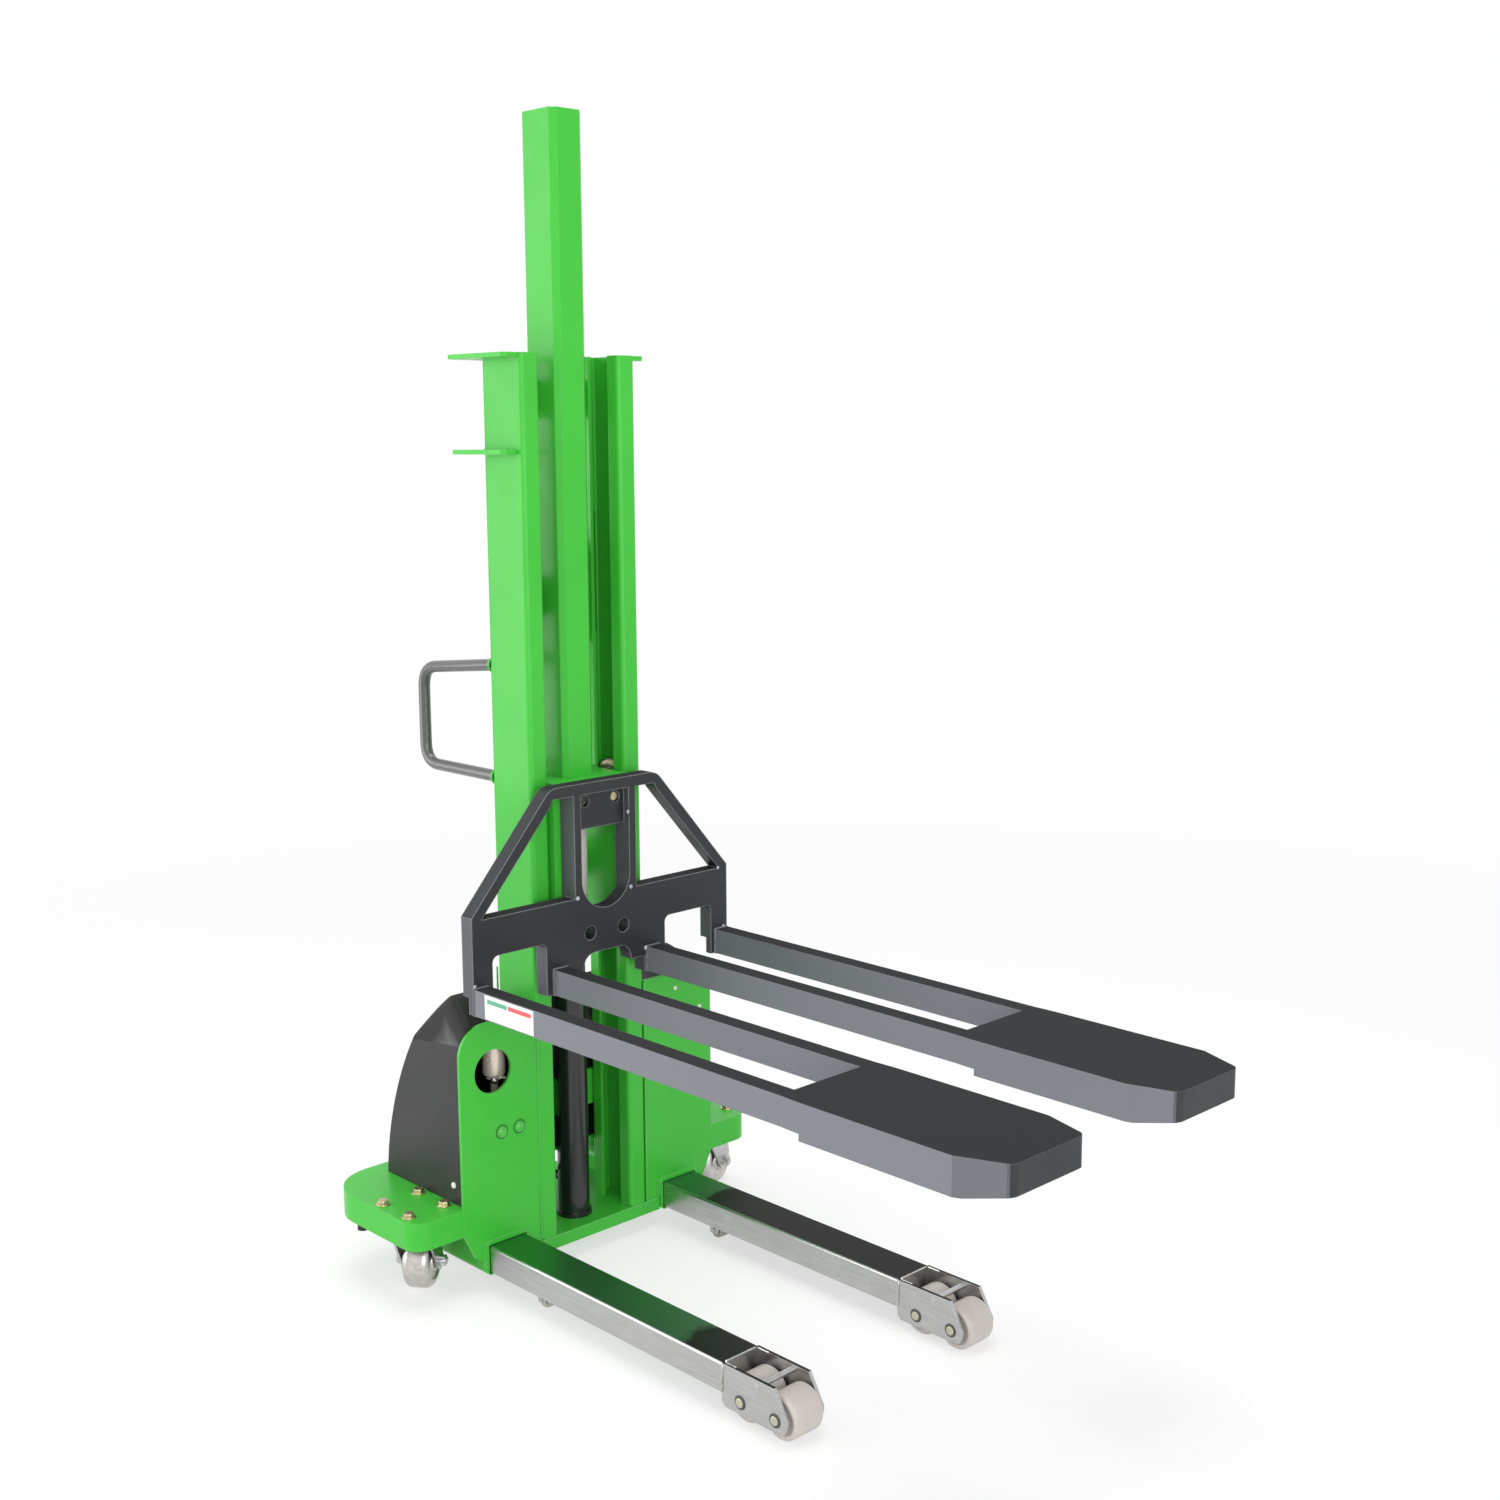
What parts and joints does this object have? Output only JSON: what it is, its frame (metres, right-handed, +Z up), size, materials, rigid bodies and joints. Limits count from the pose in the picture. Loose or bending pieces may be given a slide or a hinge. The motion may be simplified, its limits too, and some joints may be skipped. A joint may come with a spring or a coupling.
{
  "type": "self-loading stacker",
  "caption": "Hand-pushed stacker with a lift mast, forks that straddle telescoping wheeled legs, a rear power pack under a cover and swivel casters.",
  "frame": {"origin": "middle of the overall footprint on the floor, forks, handles and casters included; the mast's middle plane is 16.4 mm to the left of it, because the right caster stands out", "axes": "+Z up, -Y along the forks towards their tips, +X towards the right-hand side seen from the forks"},
  "size_m": [0.8408, 1.5377, 2.09],
  "materials": {
    "green_paint": "gloss",
    "dark_paint": "satin",
    "black_paint": "satin",
    "zinc_steel": "satin",
    "yellow_zinc": "satin",
    "chrome_rod": "polished",
    "black_rubber": "matte",
    "black_plastic": "matte",
    "white_nylon": "satin",
    "grey_tread": "satin",
    "red_plastic": "gloss",
    "green_plastic": "gloss"
  },
  "bodies": {
    "chassis": {"base_plate": "green_paint", "leg_sleeve_left": "green_paint", "leg_sleeve_right": "green_paint", "front_panel_left": "green_paint", "front_panel_right": "green_paint", "power_deck": "green_paint", "caster_bracket_left": "green_paint", "caster_bracket_right": "green_paint", "mast_channel_left": "green_paint", "mast_channel_right": "green_paint", "mast_plates": "green_paint", "mast_ties": "green_paint", "lift_cylinder": "black_paint", "rear_cover": "black_plastic", "cover_screws": "white_nylon", "panel_bolts": "green_paint", "caster_bolts": "yellow_zinc", "pump_motor": "black_paint", "pump_block": "zinc_steel", "oil_tank": "black_plastic", "battery": "black_plastic", "solenoid": "yellow_zinc", "pressure_hose": "black_rubber", "handles": "black_paint", "control_box": "black_plastic", "rubber_stops": "black_rubber", "limit_switch": "black_plastic", "caster_plates": "zinc_steel"},
    "carriage": {"carriage_frame": "dark_paint", "lift_frame": "green_paint", "lift_column": "green_paint", "lift_ram": "chrome_rod", "ram_nut": "zinc_steel", "guide_sleeve": "zinc_steel", "fork_left": "dark_paint", "fork_right": "dark_paint"},
    "leg_left": {"leg_left": "zinc_steel", "leg_axles_left": "yellow_zinc"},
    "load_wheel_left_front": {"load_wheel_left_front": "white_nylon"},
    "load_wheel_left_rear": {"load_wheel_left_rear": "white_nylon"},
    "mid_roller_left": {"mid_roller_left": "white_nylon"},
    "leg_clamp_left": {"leg_clamp_left": "zinc_steel"},
    "caster_yoke_left": {"caster_yoke_left": "zinc_steel"},
    "caster_wheel_left": {"caster_wheel_left": "grey_tread"},
    "mast_roller_upper_left": {"mast_roller_upper_left": "yellow_zinc"},
    "mast_roller_lower_left": {"mast_roller_lower_left": "yellow_zinc"},
    "leg_right": {"leg_right": "zinc_steel", "leg_axles_right": "yellow_zinc"},
    "load_wheel_right_front": {"load_wheel_right_front": "white_nylon"},
    "load_wheel_right_rear": {"load_wheel_right_rear": "white_nylon"},
    "mid_roller_right": {"mid_roller_right": "white_nylon"},
    "leg_clamp_right": {"leg_clamp_right": "zinc_steel"},
    "caster_yoke_right": {"caster_yoke_right": "zinc_steel"},
    "caster_wheel_right": {"caster_wheel_right": "grey_tread"},
    "mast_roller_upper_right": {"mast_roller_upper_right": "yellow_zinc"},
    "mast_roller_lower_right": {"mast_roller_lower_right": "yellow_zinc"},
    "raise_button": {"raise_button": "green_plastic"},
    "lower_button": {"lower_button": "black_plastic"},
    "emergency_button": {"emergency_button": "red_plastic"},
    "key_switch": {"key_switch": "zinc_steel"}
  },
  "joints": [
    {"name": "lift", "type": "slide", "parent": "chassis", "child": "carriage", "axis": [0, 0, 1], "range_m": [-0.482, 0.714]},
    {"name": "leg_extension_left", "type": "slide", "parent": "chassis", "child": "leg_left", "axis": [0, 1, 0], "range_m": [0, 0.5]},
    {"name": "load_wheel_left_front_spin", "type": "hinge", "parent": "leg_left", "child": "load_wheel_left_front", "pos_m": [-0.22491, -0.307, 0.0375], "axis": [1, 0, 0], "continuous": true},
    {"name": "load_wheel_left_rear_spin", "type": "hinge", "parent": "leg_left", "child": "load_wheel_left_rear", "pos_m": [-0.22491, -0.2305, 0.0375], "axis": [1, 0, 0], "continuous": true},
    {"name": "mid_roller_left_spin", "type": "hinge", "parent": "leg_left", "child": "mid_roller_left", "pos_m": [-0.22491, 0.3, 0.019], "axis": [1, 0, 0], "continuous": true},
    {"name": "leg_clamp_left_turn", "type": "hinge", "parent": "chassis", "child": "leg_clamp_left", "pos_m": [-0.22491, 0.678, 0.11], "axis": [0, 0, 1], "range_deg": [-180, 180]},
    {"name": "caster_left_swivel", "type": "hinge", "parent": "chassis", "child": "caster_yoke_left", "pos_m": [-0.36441, 0.507, 0.14], "axis": [0, 0, 1], "continuous": true},
    {"name": "caster_left_spin", "type": "hinge", "parent": "caster_yoke_left", "child": "caster_wheel_left", "pos_m": [-0.33446, 0.53039, 0.05], "axis": [-0.6157, 0.788, 0], "continuous": true},
    {"name": "mast_roller_upper_left_spin", "type": "hinge", "parent": "carriage", "child": "mast_roller_upper_left", "pos_m": [-0.12491, 0.479, 0.878], "axis": [1, 0, 0], "continuous": true},
    {"name": "mast_roller_lower_left_spin", "type": "hinge", "parent": "carriage", "child": "mast_roller_lower_left", "pos_m": [-0.12491, 0.479, 0.64], "axis": [1, 0, 0], "continuous": true},
    {"name": "leg_extension_right", "type": "slide", "parent": "chassis", "child": "leg_right", "axis": [0, 1, 0], "range_m": [0, 0.5]},
    {"name": "load_wheel_right_front_spin", "type": "hinge", "parent": "leg_right", "child": "load_wheel_right_front", "pos_m": [0.19209, -0.307, 0.0375], "axis": [1, 0, 0], "continuous": true},
    {"name": "load_wheel_right_rear_spin", "type": "hinge", "parent": "leg_right", "child": "load_wheel_right_rear", "pos_m": [0.19209, -0.2305, 0.0375], "axis": [1, 0, 0], "continuous": true},
    {"name": "mid_roller_right_spin", "type": "hinge", "parent": "leg_right", "child": "mid_roller_right", "pos_m": [0.19209, 0.3, 0.019], "axis": [1, 0, 0], "continuous": true},
    {"name": "leg_clamp_right_turn", "type": "hinge", "parent": "chassis", "child": "leg_clamp_right", "pos_m": [0.19209, 0.678, 0.11], "axis": [0, 0, 1], "range_deg": [-180, 180]},
    {"name": "caster_right_swivel", "type": "hinge", "parent": "chassis", "child": "caster_yoke_right", "pos_m": [0.33159, 0.507, 0.14], "axis": [0, 0, 1], "continuous": true},
    {"name": "caster_right_spin", "type": "hinge", "parent": "caster_yoke_right", "child": "caster_wheel_right", "pos_m": [0.36773, 0.51874, 0.05], "axis": [-0.309, 0.9511, 0], "continuous": true},
    {"name": "mast_roller_upper_right_spin", "type": "hinge", "parent": "carriage", "child": "mast_roller_upper_right", "pos_m": [0.09209, 0.479, 0.878], "axis": [1, 0, 0], "continuous": true},
    {"name": "mast_roller_lower_right_spin", "type": "hinge", "parent": "carriage", "child": "mast_roller_lower_right", "pos_m": [0.09209, 0.479, 0.64], "axis": [1, 0, 0], "continuous": true},
    {"name": "raise_button_press", "type": "slide", "parent": "chassis", "child": "raise_button", "axis": [0, -1, 0], "range_m": [0, 0.003], "stiffness_N_per_m": 600, "springref_m": -0.002},
    {"name": "lower_button_press", "type": "slide", "parent": "chassis", "child": "lower_button", "axis": [0, -1, 0], "range_m": [0, 0.003], "stiffness_N_per_m": 600, "springref_m": -0.002},
    {"name": "emergency_button_press", "type": "slide", "parent": "chassis", "child": "emergency_button", "axis": [0, -1, 0], "range_m": [0, 0.004]},
    {"name": "key_turn", "type": "hinge", "parent": "chassis", "child": "key_switch", "pos_m": [0.01759, 0.604, 1.278], "axis": [0, 1, 0], "range_deg": [0, 90]}
  ]
}
